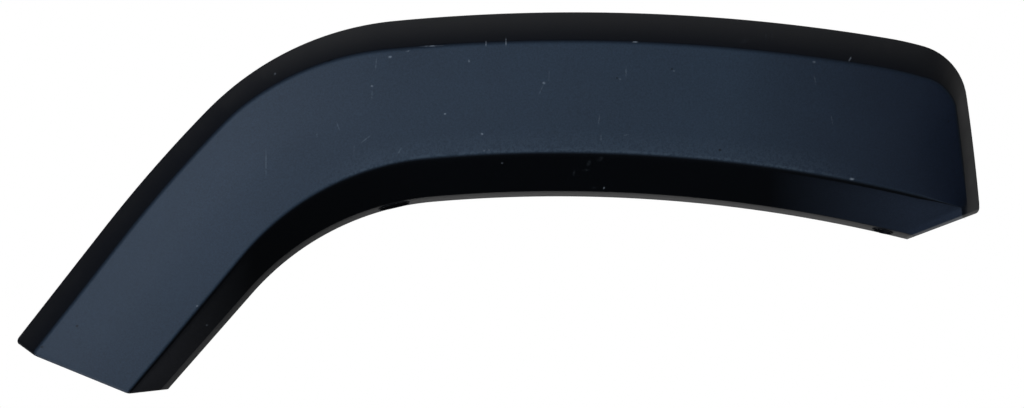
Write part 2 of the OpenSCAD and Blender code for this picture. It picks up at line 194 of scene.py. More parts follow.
def meet(base, d, rail):
    """Halves the rail again and again until it finds where the ray crosses it."""
    low, high = -SEARCH_BEFORE, sum(leg[0] for leg in rail[1])
    for _ in range(HALVINGS):
        mid = (low + high) / 2
        x, z, _h = along(rail, mid)
        if d[0] * (z - base[1]) - d[1] * (x - base[0]) > 0:
            low = mid
        else:
            high = mid
    return along(rail, mid)


def section(s):
    """The foot of the ray, its angle, and the corners as (distance across, depth) from body to flange."""
    base = along(edge_rail, s)
    across = base[2] + 90 + lean(s)
    d = unit(across)
    body, crease = meet(base, d, body_rail), meet(base, d, crease_rail)
    body_at = (body[0] - base[0]) * d[0] + (body[1] - base[1]) * d[1]
    crease_at = (crease[0] - base[0]) * d[0] + (crease[1] - base[1]) * d[1]
    roof = table_value(body[2], ROOF_WIDTHS) / unit(body[2] + 90 - across)[0]
    upper_at = body_at - roof
    face_at = min(crease_at, upper_at - FACE_TIP)
    flange_at = FLANGE_DROP / unit(lean(s))[0]
    return base, across, [(body_at, 0.0), (upper_at, -ROOF_DEPTH), (face_at, -FACE_DEPTH),
                          (flange_at, -FLANGE_DEPTH), (0.0, -FLANGE_SETBACK)]


def bow(x):
    """How far the flare curls inboard round the body at x, in plan."""
    return PLAN_BOW * (x / BOW_HALF) ** 2


def on_face(s, share):
    """Side-view place of a point on the face."""
    base, across, c = section(s)
    u = c[1][0] + (c[2][0] - c[1][0]) * share
    d = unit(across)
    return base[0] + u * d[0], base[1] + u * d[1]


DATUM = on_face(PIN_STATION, FIXING_LINE)


def placed(s, sec, u, y, peaked=True):
    """A point of a section in the frame's metres. Near the foot, the cut runs out to its peak."""
    base, across, c = sec
    reach = (max(0.0, 1 - s / FOOT_BLEND) if peaked else 0.0) * table_value(u, [
        (c[4][0], 0), (c[3][0], BEND_PEAK), (c[2][0], FOOT_PEAK), (c[1][0], FOOT_SHOULDER), (c[0][0], 0)])
    leg, d = unit(LEG_SLOPE), unit(across)
    x = base[0] + u * d[0] - reach * leg[0] - DATUM[0]
    z = base[1] + u * d[1] - reach * leg[1] - DATUM[1]
    return Vector((x, y + bow(x), z)) * MM


print("face is", round(section(PIN_STATION)[2][1][0] - section(PIN_STATION)[2][2][0]), "mm wide at the pin")

# %% [markdown]
# ## A loft in Geometry Nodes
# The shell follows a rule, so Geometry Nodes can build it. The sections go in as a curve object with one
# short polyline for each place. The tree rounds their corners with Fillet Curve, lays a flat grid with one
# row for each polyline, and moves each of its points onto the curve point of the same number. A mesh built
# by hand would give the same skin, but here the number of facets in a bend stays a named input.

# %% Helpers for objects and nodes, and the two materials, still empty
def linked(name, data):
    """A new object in the scene."""
    result = bpy.data.objects.new(name, data)
    bpy.context.scene.collection.objects.link(result)
    return result


def set_node(node, **settings):
    """Sets a node's properties, or else the values of its inputs."""
    for name, value in settings.items():
        if hasattr(node, name):
            setattr(node, name, value)
        else:
            node.inputs[name.replace("_", " ")].default_value = value


def add_node(tree, kind, links=(), **settings):
    """Adds one node, sets it, and links (input, output) pairs, where a node stands for its first output."""
    node = tree.nodes.new(kind)
    set_node(node, **settings)
    for name, source in links:
        tree.links.new(getattr(source, "outputs", [source])[0], node.inputs[name])
    return node


def mathed(tree, operation, a, b=0.0, clamp=False):
    """One sum on sockets or plain numbers."""
    node = add_node(tree, "ShaderNodeMath", operation=operation, use_clamp=clamp)
    for i, value in enumerate((a, b)):
        if isinstance(value, bpy.types.NodeSocket):
            tree.links.new(value, node.inputs[i])
        else:
            node.inputs[i].default_value = value
    return node.outputs[0]


polypropylene = bpy.data.materials.new("grained_polypropylene")
nylon = bpy.data.materials.new("natural_nylon")
print("two plastics:", polypropylene.name, "and", nylon.name)

# %% The sections as one curve object
UPPER_CREASE_R, FACE_R, LOWER_CREASE_R, FLANGE_BEND_R = 7.0, 400.0, 5.0, 4.0
CORNER_RADII = [0, UPPER_CREASE_R, FACE_R, LOWER_CREASE_R, FLANGE_BEND_R, 0]
# the lower crease is crisp on the leg and softer on the crown
CREASE_POINT, CREASE_SOFTER = 3, 4.0
LEG_ROWS, SHOULDER_ROWS, CROWN_ROWS, FAN_ROWS = 16, 40, 30, 60


def spread(start, end, count):
    """Even steps that end at the end and leave out the start."""
    return [start + (end - start) * i / count for i in range(1, count + 1)]


# close rows near both ends carry the rounded corner of the cut
END_ROWS = [0.1, 0.5, 1.1, 1.9, 3.0, 4.6]
fan_start = EDGE_LEN - FAN_LEN
places = END_ROWS + spread(0, LEG_LEN, LEG_ROWS) + spread(LEG_LEN, LEG_LEN + SHOULDER[0], SHOULDER_ROWS)
places += spread(LEG_LEN + SHOULDER[0], fan_start, CROWN_ROWS)
places += spread(fan_start, EDGE_LEN - 2 * END_ROWS[-1], FAN_ROWS)
places += [EDGE_LEN - gap for gap in END_ROWS[::-1]]
CUT_CORNER_R, BODY_INSET = 4.4, 0.15


def corner_inset(s):
    """How far the body-side rim draws in near the two cuts, which gives the cut its rounded corner."""
    gap = min(s * unit(FOOT_LEAN)[0], (EDGE_LEN - s) * unit(REAR_LEAN)[0])
    short = max(0.0, CUT_CORNER_R - gap)
    return BODY_INSET + CUT_CORNER_R - math.sqrt(CUT_CORNER_R ** 2 - short ** 2)


def section_row(s):
    """The six control points of a row. The one in the middle of the face gives it its slight bulge."""
    sec = section(s)
    body, upper, crease, bend, rim = [Vector(c) for c in sec[2]]
    body.x -= corner_inset(s)
    upper.x -= corner_inset(s)
    d = (crease - upper).normalized()
    middle = (upper + crease) / 2 + Vector((-d.y, d.x)) * FACE_BULGE
    return [placed(s, sec, p.x, p.y) for p in (body, upper, middle, crease, bend, rim)]


section_curves = bpy.data.curves.new("section_lines", "CURVE")
section_curves.dimensions = "3D"
for s in places:
    spline = section_curves.splines.new("POLY")
    spline.points.add(len(CORNER_RADII) - 1)
    for i, p in enumerate(section_row(s)):
        spline.points[i].co = (*p, 1)
        spline.points[i].radius = CORNER_RADII[i] * MM
    spline.points[CREASE_POINT].radius += CREASE_SOFTER * MM * smooth((s - LEG_LEN) / SHOULDER[0])
print(len(places), "sections")

# %% The loft tree
# a pale painted highlight runs along the rims of both cuts, weaker at the foot; both rims are a few rows wide
FOOT_CUT_HIGHLIGHT_SHARE, FOOT_CUT_ROWS, REAR_CUT_ROWS = 0.2, 3.5, 4.5


def tree_with_inputs(name, inputs):
    """A new tree with these (name, kind) inputs and one geometry output, and its input node."""
    tree = bpy.data.node_groups.new(name, "GeometryNodeTree")
    for label, kind in inputs:
        tree.interface.new_socket(label, in_out="INPUT", socket_type="NodeSocket" + kind)
    tree.interface.new_socket("Geometry", in_out="OUTPUT", socket_type="NodeSocketGeometry")
    return tree, add_node(tree, "NodeGroupInput")


def end_tree(tree, geometry, given):
    """Ends a tree in Realize Instances and Set Material."""
    real = add_node(tree, "GeometryNodeRealizeInstances", [("Geometry", geometry)])
    paint = add_node(tree, "GeometryNodeSetMaterial", [
        ("Geometry", real), ("Material", given.outputs["Material"])])
    add_node(tree, "NodeGroupOutput", [(0, paint)])
    return tree


def loft_tree():
    tree, given = tree_with_inputs("loft_through_sections", [
        ("Geometry", "Geometry"), ("Facets in a bend", "Int"), ("Weld distance", "Float"),
        ("Material", "Material")])

    def maths(operation, a, b):
        return mathed(tree, operation, a, b)

    def vector_maths(operation, a, b, output=0):
        node = add_node(tree, "ShaderNodeVectorMath", [(0, a), (1, b)], operation=operation)
        return node.outputs[output]

    # round the corners of every section
    radius = add_node(tree, "GeometryNodeInputRadius")
    fillet = add_node(tree, "GeometryNodeFilletCurve", [
        ("Curve", given.outputs["Geometry"]), ("Radius", radius),
        ("Count", given.outputs["Facets in a bend"])], mode="POLY", Limit_Radius=True)
    size = add_node(tree, "GeometryNodeAttributeDomainSize", [
        ("Geometry", fillet)], component="CURVE")
    lines = size.outputs["Spline Count"]
    columns = maths("DIVIDE", size.outputs["Point Count"], lines)

    # a flat grid with one row more at each end, and the section that each of its rows belongs to
    grid = add_node(tree, "GeometryNodeMeshGrid", [
        ("Vertices X", maths("ADD", lines, 2)), ("Vertices Y", columns)])
    index = add_node(tree, "GeometryNodeInputIndex").outputs[0]
    column = maths("MODULO", index, columns)
    grid_row = maths("FLOOR", maths("DIVIDE", maths("ADD", index, 0.5), columns), 0)
    last_line = maths("SUBTRACT", lines, 1)
    line = maths("MINIMUM", maths("MAXIMUM", maths("SUBTRACT", grid_row, 1), 0), last_line)
    first_point = maths("MULTIPLY", line, columns)
    last_column = maths("SUBTRACT", columns, 1)

    def curve_point(number):
        position = add_node(tree, "GeometryNodeInputPosition")
        return add_node(tree, "GeometryNodeSampleIndex", [
            ("Geometry", fillet), ("Value", position), ("Index", number)], data_type="FLOAT_VECTOR").outputs[0]

    here = curve_point(maths("ADD", first_point, column))
    at_body = curve_point(first_point)
    at_wheel = curve_point(maths("ADD", first_point, last_column))

    # the added rows lie in the plane of the rim, so they close the two ends
    width = vector_maths("SUBTRACT", at_body, at_wheel)
    reach = vector_maths("SUBTRACT", here, at_wheel)
    share = maths("DIVIDE", vector_maths("DOT_PRODUCT", reach, width, 1),
                  vector_maths("DOT_PRODUCT", width, width, 1))
    body_y = add_node(tree, "ShaderNodeSeparateXYZ", [(0, at_body)]).outputs["Y"]
    wheel_y = add_node(tree, "ShaderNodeSeparateXYZ", [(0, at_wheel)]).outputs["Y"]
    rim_y = maths("ADD", wheel_y, maths("MULTIPLY", share, maths("SUBTRACT", body_y, wheel_y)))
    apart = add_node(tree, "ShaderNodeSeparateXYZ", [(0, here)])
    on_rim = add_node(tree, "ShaderNodeCombineXYZ", [
        (0, apart.outputs["X"]), (1, rim_y), (2, apart.outputs["Z"])])
    added = maths("ADD", maths("LESS_THAN", grid_row, 0.5),
                  maths("GREATER_THAN", grid_row, maths("ADD", lines, 0.5)))
    place = add_node(tree, "ShaderNodeMix", [
        ("Factor", added), (4, here), (5, on_rim)], data_type="VECTOR")
    moved = add_node(tree, "GeometryNodeSetPosition", [
        ("Geometry", grid.outputs["Mesh"]), ("Position", place.outputs[1])])

    # what the material needs to know: the place across the section, and the share of the painted highlight at a
    # cut
    at_foot = maths("MULTIPLY", maths("LESS_THAN", grid_row, FOOT_CUT_ROWS), FOOT_CUT_HIGHLIGHT_SHARE)
    at_cut = maths("ADD", at_foot, maths("GREATER_THAN", grid_row, maths("SUBTRACT", lines, REAR_CUT_ROWS)))
    known = moved
    for label, value in (("across", maths("DIVIDE", column, last_column)), ("end", at_cut)):
        known = add_node(tree, "GeometryNodeStoreNamedAttribute", [
            ("Geometry", known), ("Value", value)], data_type="FLOAT", domain="POINT", Name=label)
    weld = add_node(tree, "GeometryNodeMergeByDistance", [
        ("Geometry", known), ("Distance", given.outputs["Weld distance"])])
    outwards = add_node(tree, "GeometryNodeFlipFaces", [("Mesh", weld)])
    shade = add_node(tree, "GeometryNodeSetShadeSmooth", [("Geometry", outwards)])
    return end_tree(tree, shade, given)


def set_input(modifier, name, value):
    """Sets a modifier's input by its socket's identifier."""
    for item in modifier.node_group.interface.items_tree:
        if item.item_type == "SOCKET" and item.in_out == "INPUT" and item.name == name:
            modifier[item.identifier] = value


def baked(source, name):
    """The evaluated object as a plain mesh object, with the source and its modifiers gone."""
    evaluated = source.evaluated_get(bpy.context.evaluated_depsgraph_get())
    mesh = bpy.data.meshes.new_from_object(evaluated, preserve_all_data_layers=True,
                                           depsgraph=bpy.context.evaluated_depsgraph_get())
    mesh.name = name
    result = linked(name, mesh)
    bpy.data.objects.remove(source)
    return result


# %% Run the loft
BEND_FACETS, WELD_MM = 8, 0.02
section_lines = linked("section_lines", section_curves)
loft = section_lines.modifiers.new("loft", "NODES")
loft.node_group = loft_tree()
set_input(loft, "Facets in a bend", BEND_FACETS)
set_input(loft, "Weld distance", WELD_MM * MM)
set_input(loft, "Material", polypropylene)
shell = baked(section_lines, "shell")
print("skin has", len(shell.data.polygons), "faces")

# %% [markdown]
# ## From a skin to a moulding
# An injection moulding has one wall thickness all over. Solidify gives the skin that wall, grown inwards so
# that the outside keeps its size. The two screw seats are let into the flange before the edges are rounded:
# a boolean with a plain slot-shaped cutter opens the wall there.

# %% Wall
thick = shell.modifiers.new("wall", "SOLIDIFY")
thick.thickness = WALL * MM
thick.offset = -1
shell = baked(shell, "shell")
print("walled shell:", len(shell.data.polygons), "faces")

# %% Screw seats: where they sit on the flange
SEAT_D, SEAT_DEPTH, SCREW_D, SLOT_EXTRA, SEAT_RIM = 17.0, 4.0, 7.0, 11.0, 0.9
FRONT_SEAT_BACK, REAR_SEAT_GAP = 36.0, 24.5
IN_PLACE = Matrix.Identity(4)
SEATS = [(LEG_LEN + SHOULDER[0] - FRONT_SEAT_BACK, SLOT_EXTRA), (EDGE_LEN - REAR_SEAT_GAP, 0.0)]


def on_flange(s):
    """Matrix on the middle of the flange: Z out of it towards the wheel, X along it. In metres."""
    x, z, h = along(edge_rail, s)
    a = math.radians(h)
    x -= FLANGE_DROP / 2 * math.sin(a) + DATUM[0]
    z += FLANGE_DROP / 2 * math.cos(a) - DATUM[1]
    at = Vector((x, bow(x) - (FLANGE_DEPTH + FLANGE_SETBACK) / 2, z)) * MM
    turn = Matrix.Rotation(-a, 4, "Y") @ Matrix.Rotation(math.radians(180 - FLANGE_DRAFT), 4, "X")
    return Matrix.Translation(at) @ turn


def slot_ring(radius, extra, height, turns=32):
    """Points of a round-ended slot at one height, in metres."""
    points = []
    for i in range(turns):
        a = 2 * math.pi * (i + 0.5) / turns
        side = extra / 2 if math.cos(a) > 0 else -extra / 2
        points.append(Vector((side + radius * math.cos(a), radius * math.sin(a), height)) * MM)
    return points


def finish_mesh(mesh, name, material=None):
    """The bmesh as a linked object with smooth faces, in black plastic unless told otherwise."""
    data = bpy.data.meshes.new(name)
    mesh.to_mesh(data)
    mesh.free()
    piece = linked(name, data)
    data.materials.append(material or polypropylene)
    for polygon in data.polygons:
        polygon.use_smooth = True
    return piece


def through(name, outlines, place=IN_PLACE, ring=False):
    """A body through outlines of as many points each: a solid with two caps, or a closed ring."""
    mesh = bmesh.new()
    loops = [[mesh.verts.new(p) for p in outline] for outline in outlines]
    pairs = list(zip(loops, loops[1:]))
    if ring:
        pairs.append((loops[-1], loops[0]))
    else:
        mesh.faces.new(loops[0])
        mesh.faces.new(loops[-1])
    for low, high in pairs:
        for i in range(len(low)):
            j = (i + 1) % len(low)
            mesh.faces.new((low[i], low[j], high[j], high[i]))
    bmesh.ops.recalc_face_normals(mesh, faces=mesh.faces)
    mesh.transform(place)
    return finish_mesh(mesh, name)


def swept_slot(name, profile, extra=0.0, place=IN_PLACE, ring=False):
    """A body whose (radius, height) profile runs round a slot."""
    return through(name, [slot_ring(r, extra, h) for r, h in profile], place, ring)


print("seats at", [round(station) for station, _extra in SEATS], "mm along the wheel-side edge")

# %% Open the wall at the seats
CUT_PLAY = 0.6


def apply_boolean(target, tool):
    """The target with the tool's shape cut out of it."""
    cut = target.modifiers.new("cut", "BOOLEAN")
    cut.object = tool
    cut.operation = "DIFFERENCE"
    cut.solver = "EXACT"
    result = baked(target, target.name)
    bpy.data.objects.remove(tool)
    return result


cut_r = SEAT_D / 2 + CUT_PLAY
for station, extra in SEATS:
    cutter = swept_slot("cutter", [(cut_r, -2 * WALL), (cut_r, 2 * WALL)], extra, on_flange(station))
    shell = apply_boolean(shell, cutter)
print("shell with seats open:", len(shell.data.polygons), "faces")

# %% Round the rim and the cut ends
EDGE_RADIUS, RIM_ANGLE = 0.6, 50


def rounded(piece, width, segments=2, angle=30):
    """Bevels every edge that is sharper than the angle."""
    bevel = piece.modifiers.new("edges", "BEVEL")
    bevel.width = width * MM
    bevel.segments = segments
    bevel.limit_method = "ANGLE"
    bevel.angle_limit = math.radians(angle)
    return baked(piece, piece.name.split(".")[0])


shell = rounded(shell, EDGE_RADIUS, angle=RIM_ANGLE)
print("rounded shell:", len(shell.data.polygons), "faces")

# %% [markdown]
# ## The seats themselves
# Each seat is a shallow cup with a low raised rim, a rounded mouth and a screw hole in its floor. A cup like
# this is one profile run round a slot; the rear one is the same with no straight between its round ends.

# %% Cups of the seats
r_in, r_out, r_hole = SEAT_D / 2, SEAT_D / 2 + SEAT_RIM + WALL / 4, SCREW_D / 2
mouth = 0.5
cup_profile = [
    (r_hole, -SEAT_DEPTH - WALL), (r_out - mouth, -SEAT_DEPTH - WALL), (r_out, -SEAT_DEPTH - WALL + mouth),
    (r_out, SEAT_RIM - mouth), (r_out - mouth, SEAT_RIM), (r_in + mouth, SEAT_RIM), (r_in, SEAT_RIM - mouth),
    (r_in, -SEAT_DEPTH + mouth), (r_in - mouth, -SEAT_DEPTH), (r_hole + mouth, -SEAT_DEPTH),
    (r_hole, -SEAT_DEPTH - mouth)]
seat_cups = [swept_slot(f"seat_cup_{i + 1}", cup_profile, extra, on_flange(station), ring=True)
             for i, (station, extra) in enumerate(SEATS)]
print(len(seat_cups), "seat cups")

# %% [markdown]
# ## Ribs and posts behind the face
# Ribs stand across the shell, low over the face and rising at its two sides, so that a hand can't squeeze
# the arch flat. Between them stand the houses for the clips. None of this can be seen in the photograph, so
# it takes the plain form that such mouldings have.

# %% Ribs from the section's own corners
RIB_T, RIB_H, RIB_SIDE, RIB_GAP, RIB_STEPS, MITRE_LIMIT = 1.8, 14.0, 14.0, 12.0, 20, 0.5


def rib(s):
    """A rib across the arch, whose outer side follows the middle of the wall and whose free side is a bow."""
    sec = section(s)
    corners = [Vector(c) for c in sec[2]]
    skin = []
    for i, c in enumerate(corners):
        before = (c - corners[i - 1]).normalized() if i else (corners[1] - c).normalized()
        after = (corners[i + 1] - c).normalized() if c is not corners[-1] else before
        out = (Vector((-before.y, before.x)) + Vector((-after.y, after.x))).normalized()
        skin.append(c - out * WALL / 2 / max(MITRE_LIMIT, out.dot(Vector((-after.y, after.x)))))
    top, low = skin[0].x, skin[-1].x
    skin[0] += (skin[1] - skin[0]) * (skin[0].y + RIB_GAP) / (skin[0].y - skin[1].y)
    skin[-1] = skin[-2] + (skin[-1] - skin[-2]) * (skin[-2].y + RIB_GAP) / (skin[-2].y - skin[-1].y)
    reach, rise = (top - low) / 2 - RIB_SIDE, FACE_DEPTH - RIB_H - RIB_GAP
    free = [Vector(((top + low) / 2 - reach * math.cos(math.pi * i / RIB_STEPS),
                    -RIB_GAP - rise * math.sin(math.pi * i / RIB_STEPS))) for i in range(RIB_STEPS + 1)]
    d = unit(sec[1])
    side = Vector((-d[1], 0, d[0])) * RIB_T / 2 * MM
    middle = [placed(s, sec, p.x, p.y, peaked=False) for p in skin + free]
    return through("rib", [[p - side for p in middle], [p + side for p in middle]])


ribs = [rib(clip_place(i + 0.5)) for i in range(-1, CLIP_COUNT - 1)]
print(len(ribs), "ribs")

# %% [markdown]
# ## Clip houses, clips and pins set along a line
# Eight clip houses stand along one line behind the face, each with a push-in clip. They are all alike, so one
# of each is made and Geometry Nodes sets it on every point of the line. A point carries its own turn, because
# the houses follow the arch. The two locating pins use the same tree with two points.

# %% The tree that sets a piece on points
def set_on_points_tree():
    tree, given = tree_with_inputs("set_on_points", [
        ("Geometry", "Geometry"), ("Piece", "Object"), ("Material", "Material")])
    points = add_node(tree, "GeometryNodeMeshToPoints", [("Mesh", given.outputs["Geometry"])])
    piece = add_node(tree, "GeometryNodeObjectInfo", [
        ("Object", given.outputs["Piece"])], transform_space="ORIGINAL")
    turn = add_node(tree, "GeometryNodeInputNamedAttribute", data_type="FLOAT_VECTOR", Name="turn")
    spin = add_node(tree, "FunctionNodeEulerToRotation", [(0, turn)])
    copies = add_node(tree, "GeometryNodeInstanceOnPoints", [
        ("Points", points), ("Instance", piece.outputs["Geometry"]),
        ("Rotation", spin)])
    return end_tree(tree, copies, given)


set_on_points = set_on_points_tree()


def on_line(name, piece, stations, material):
    """Copies of a piece along the fixing line. Its Z points inboard and its Y towards the wheel."""
    mesh = bpy.data.meshes.new(name)
    points = []
    for x, z in [on_face(s, FIXING_LINE) for s in stations]:
        points.append(Vector((x - DATUM[0], bow(x - DATUM[0]), z - DATUM[1])) * MM)
    mesh.from_pydata(points, [], [])
    turns = mesh.attributes.new("turn", "FLOAT_VECTOR", "POINT")
    for i, s in enumerate(stations):
        turns.data[i].vector = (math.radians(-90), -math.radians(section(s)[1] - 90), 0)
    line = linked(name, mesh)
    modifier = line.modifiers.new("set", "NODES")
    modifier.node_group = set_on_points
    set_input(modifier, "Piece", piece)
    set_input(modifier, "Material", material)
    result = baked(line, name)
    bpy.data.objects.remove(piece)
    return result


print("setting tree has", len(set_on_points.nodes), "nodes")

# %% One clip house
HOUSE_LEN, HOUSE_WIDTH, HOUSE_WALL, HOUSE_EDGE, PLATE_T = 26.0, 24.0, 2.0, 0.3, 2.4
NECK_D, NECK_PLAY, FOOT_SINK = 8.0, 0.2, 1.2
COLLAR_T, SEAT_PLAY = 1.5, 0.1
PLATE_TOP = -COLLAR_T - SEAT_PLAY


def wall_height(y, s=PIN_STATION):
    """Height of the wall, FOOT_SINK below its inner surface, at a distance to the wheel side."""
    c = section(s)[2]
    share = FIXING_LINE + y / (c[1][0] - c[2][0])
    return -ROOF_DEPTH - (FACE_DEPTH - ROOF_DEPTH) * share + WALL - FOOT_SINK


def footed(length, y_from, y_to, top, below=0.0):
    """A block whose foot follows the slope of the wall."""
    outline = [(y_from, wall_height(y_from) - below), (y_to, wall_height(y_to) - below),
               (y_to, top), (y_from, top)]
    return through("block", [[Vector((x, y, z)) * MM for y, z in outline] for x in (-length / 2, length / 2)])


house = footed(HOUSE_LEN, -HOUSE_WIDTH / 2, HOUSE_WIDTH / 2, PLATE_TOP)
house = apply_boolean(house, footed(HOUSE_LEN - 2 * HOUSE_WALL, HOUSE_WALL - HOUSE_WIDTH / 2, HOUSE_WIDTH,
                                    PLATE_TOP - PLATE_T, HOUSE_WIDTH))
key_r = NECK_D / 2 + NECK_PLAY
key_place = Matrix.Rotation(math.radians(90), 4, "Z") @ Matrix.Translation(Vector((HOUSE_WIDTH / 2, 0, 0)) * MM)
key_profile = [(key_r, PLATE_TOP - 2 * PLATE_T), (key_r, PLATE_T)]
keyhole = swept_slot("keyhole", key_profile, HOUSE_WIDTH, key_place)
house = rounded(apply_boolean(house, keyhole), HOUSE_EDGE)
clip_stations = [clip_place(i) for i in range(CLIP_COUNT)]
clip_houses = on_line("clip_houses", house, clip_stations, polypropylene)
print("clip houses:", len(clip_houses.data.polygons), "faces")

# %% One locating pin on its post
PIN_LEN, PIN_D, POST_D, PIN_TIP = 15.0, 8.0, 14.0, 0.6
straight, soft = PIN_LEN - PIN_D / 4, 0.6
pin_floor = wall_height(-POST_D / 2)
pin_profile = [(POST_D / 2, pin_floor), (POST_D / 2, -straight - soft), (POST_D / 2 - soft, -straight),
               (PIN_D / 2 + soft, -straight), (PIN_D / 2, -straight + soft), (PIN_D / 2, straight - soft),
               (PIN_D / 2 - soft / 3, straight), (PIN_D / 2 * PIN_TIP + soft / 3, PIN_LEN - soft / 3),
               (PIN_D / 2 * PIN_TIP - soft / 3, PIN_LEN)]
pin = swept_slot("locating_pin", pin_profile)
web = footed(2 * POST_D, -RIB_T / 2, RIB_T / 2, -straight - POST_D / 2)
pin_stations = [PIN_STATION, clip_place(REAR_PIN_BAY + 0.5)]
locating_pins = on_line("locating_pins", pin, pin_stations, polypropylene)
pin_webs = on_line("pin_webs", web, pin_stations, polypropylene)
print("locating pins:", len(locating_pins.data.polygons), "faces")

# %% One push-in clip
FOOT_D, FOOT_T, COLLAR_D, SHANK_D, SHANK_LEN = 15.0, 1.6, 19.0, 6.4, 15.0
BARB_COUNT, BARB_OUT, BARB_FALL, TIP_LEN = 3, 1.3, 0.26, 2.0
COLLAR_BEVEL, COLLAR_FLARE, SLIT_W, SLIT_END, CLIP_EDGE = 1.1, 1.4, 1.2, 2.5, 0.15
neck_foot = PLATE_TOP - PLATE_T - SEAT_PLAY
barb_pitch = (SHANK_LEN - TIP_LEN) / BARB_COUNT
clip_profile = [(FOOT_D / 2, neck_foot - FOOT_T), (FOOT_D / 2, neck_foot), (NECK_D / 2, neck_foot),
                (NECK_D / 2, -COLLAR_T), (COLLAR_D / 2, -COLLAR_T),
                (COLLAR_D / 2, -COLLAR_BEVEL / COLLAR_FLARE), (COLLAR_D / 2 - COLLAR_BEVEL, 0),
                (SHANK_D / 2, 0)]
for i in range(BARB_COUNT):
    foot = barb_pitch * (i + 0.5)
    clip_profile += [(SHANK_D / 2, foot), (SHANK_D / 2 + BARB_OUT - BARB_FALL * i, foot + barb_pitch / 10),
                     (SHANK_D / 2, foot + barb_pitch / 2)]
clip_profile.append((SHANK_D / 5, SHANK_LEN))
clip = swept_slot("clip", clip_profile)
slit_long = SHANK_LEN - TIP_LEN - 2 * SLIT_END
slit = bmesh.new()
slit_place = Matrix.Translation(Vector((0, 0, SLIT_END + slit_long / 2)) * MM)
slit_size = Matrix.Diagonal((SLIT_W * MM, 2 * COLLAR_D * MM, slit_long * MM, 1))
bmesh.ops.create_cube(slit, size=1.0, matrix=slit_place @ slit_size)
clip = rounded(apply_boolean(clip, finish_mesh(slit, "slit")), CLIP_EDGE, 1)
clips = on_line("push_in_clips", clip, clip_stations, nylon)
print("clips:", len(clips.data.polygons), "faces")

# %% [markdown]
# ## Grained polypropylene
# Such a flare is black plastic whose mould was etched with a fine grain, so it takes light softly and never
# mirrors. The grain comes from two noise patterns in a bump, and the same noise varies the colour a little.
# The band of the section that a point lies in, stored as "across" by the loft, gives each band a tone of
# painted
# light: painted shade darkens the roof, the crease and the chamfer, the face carries a painted bluish sheen and
# the flange a paler painted reflection.

# %% Helpers for colours and patterns
def linear(hex_colour):
    """A colour written as hex sRGB, in the linear numbers that Blender works with."""
    channels = [int(hex_colour[i:i + 2], 16) / 255 for i in (1, 3, 5)]
    return tuple(c / 12.92 if c <= 0.04045 else ((c + 0.055) / 1.055) ** 2.4 for c in channels) + (1.0,)


def ramp(tree, fac, stops):
    """A straight-line ramp of (place, colour or level) stops."""
    node = add_node(tree, "ShaderNodeValToRGB", [("Fac", fac)])
    while len(node.color_ramp.elements) < len(stops):
        node.color_ramp.elements.new(1.0)
    for element, (place, colour) in zip(node.color_ramp.elements, stops):
        element.position = place
        element.color = linear(colour) if isinstance(colour, str) else (colour, colour, colour, 1)
    return node.outputs["Color"]


def mix_colour(tree, fac, first, second, blend="MIX"):
    """Mixes two colours, each a socket or a hex colour."""
    node = add_node(tree, "ShaderNodeMix", data_type="RGBA", blend_type=blend)
    for socket, value in ((node.inputs[0], fac), (node.inputs[6], first), (node.inputs[7], second)):
        if isinstance(value, bpy.types.NodeSocket):
            tree.links.new(value, socket)
        elif isinstance(value, str):
            socket.default_value = linear(value)
        else:
            socket.default_value = value
    return node.outputs[2]


def product(tree, *factors):
    """All the factors multiplied."""
    total = factors[0]
    for factor in factors[1:]:
        total = mathed(tree, "MULTIPLY", total, factor)
    return total


def fade(tree, value, start, length):
    """Rises from nothing at the start to one after the length; a negative length goes the other way."""
    return mathed(tree, "DIVIDE", mathed(tree, "SUBTRACT", value, start), length, clamp=True)


def noise(tree, vector, scale, detail=2.0, roughness=0.5):
    node = add_node(tree, "ShaderNodeTexNoise", [("Vector", vector)],
                    Scale=scale, Detail=detail, Roughness=roughness)
    return node.outputs["Fac"]


print("middle grey is", round(linear("#808080")[0], 3), "in linear numbers")

# %% [markdown]
# ## Wear, placed where the photograph shows it
# The part is used: it has a few pale nicks along its creases, some specks, fine upright scratches and faint
# smudges. Each is a soft-edged ellipse at a place of its own, broken up by noise. A painted texture would need
# an image; short lists of places keep the wear in the script, and each one can be moved.

# %% Places of wear
PHOTO_ORIGIN, PHOTO_SCALE = (516.43, 75.38), 0.95


def from_photo(px, py):
    """Side-view place in metres of a pixel of the photograph."""
    return (px - PHOTO_ORIGIN[0]) * PHOTO_SCALE * MM, (PHOTO_ORIGIN[1] - py) * PHOTO_SCALE * MM


# pixel across and down, half length and half width in mm, slope in degrees
NICKS = [
    (275, 74, 1.6, 1.1, 45), (390, 57, 2.4, 1.4, 10), (408, 51, 2.8, 0.9, 20), (432, 46, 13.0, 0.7, 2),
    (506, 42, 5.5, 0.8, 90), (486, 44, 3.5, 0.8, 90), (635, 42, 3.6, 1.0, 0), (850, 59, 3.0, 1.0, 60),
    (852, 179, 3.0, 1.6, 0), (814, 62, 1.8, 1.4, 0),
]
SPECKS = [
    (482, 134, 1.5, 1.3, 0), (484, 151, 1.4, 1.2, 0), (489, 150, 1.3, 1.0, 0), (544, 83, 2.0, 1.4, 10),
    (372, 86, 1.6, 1.2, 0), (445, 114, 1.4, 1.1, 0), (469, 61, 1.3, 1.5, 0), (620, 79, 1.3, 1.1, 0),
    (674, 71, 1.3, 1.1, 0), (197, 306, 1.5, 1.1, 30), (207, 325, 1.4, 1.1, 30), (502, 163, 1.3, 1.1, 0),
    (604, 188, 1.4, 0.9, 60),
]
